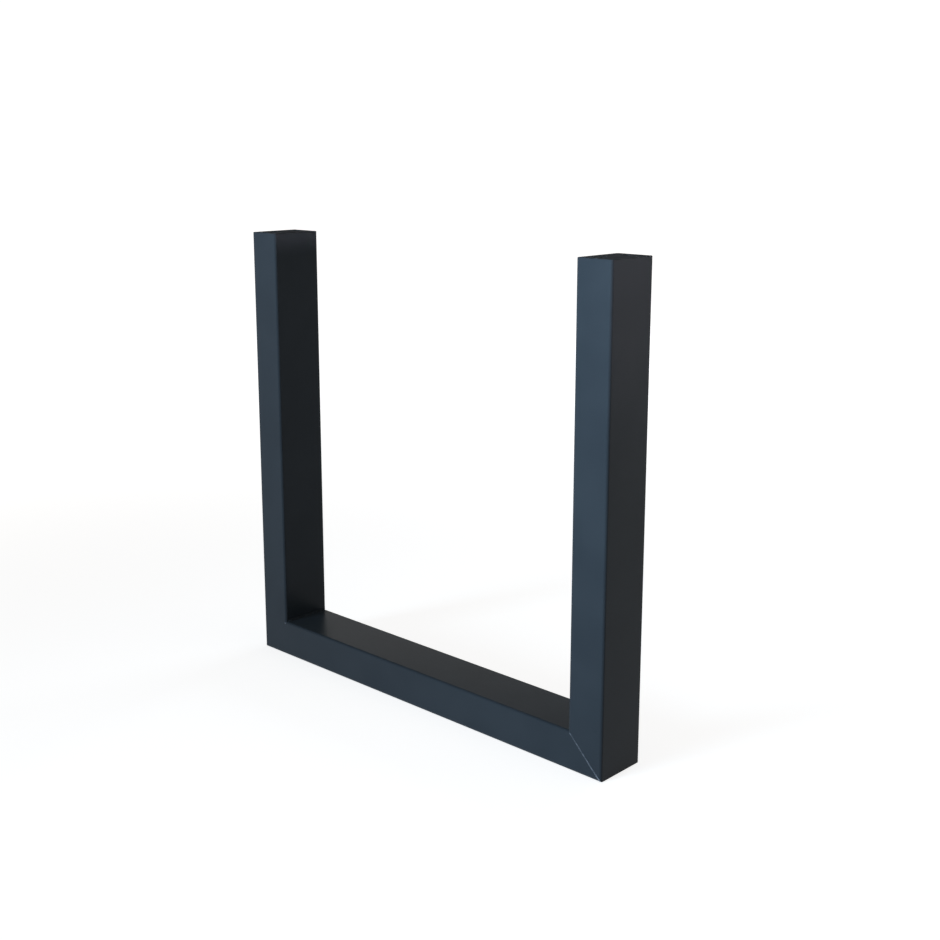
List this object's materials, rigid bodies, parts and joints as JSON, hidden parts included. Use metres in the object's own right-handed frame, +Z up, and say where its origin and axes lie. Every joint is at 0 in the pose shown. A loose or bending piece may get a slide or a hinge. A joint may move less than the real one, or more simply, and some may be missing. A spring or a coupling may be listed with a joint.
{
  "type": "u-shaped table leg",
  "caption": "U-shaped table leg welded from mitred steel box tube, with a rail along the floor and posts whose capped, tapped tops bolt to a table top.",
  "frame": {"origin": "on the floor, under the middle of the rail", "axes": "+X along the rail, +Y from the front face to the back face, +Z up towards the table top"},
  "size_m": [0.75, 0.09, 0.73],
  "materials": {
    "black_powder_coat": "satin black powder coat with a fine orange peel",
    "coated_weld": "ground weld under the same powder coat"
  },
  "bodies": {
    "root": {"left_post": "black_powder_coat", "right_post": "black_powder_coat", "bottom_rail": "black_powder_coat", "left_corner_weld": "coated_weld", "right_corner_weld": "coated_weld", "left_end_cap": "black_powder_coat", "right_end_cap": "black_powder_coat", "left_cap_weld": "coated_weld", "right_cap_weld": "coated_weld"}
  },
  "joints": []
}
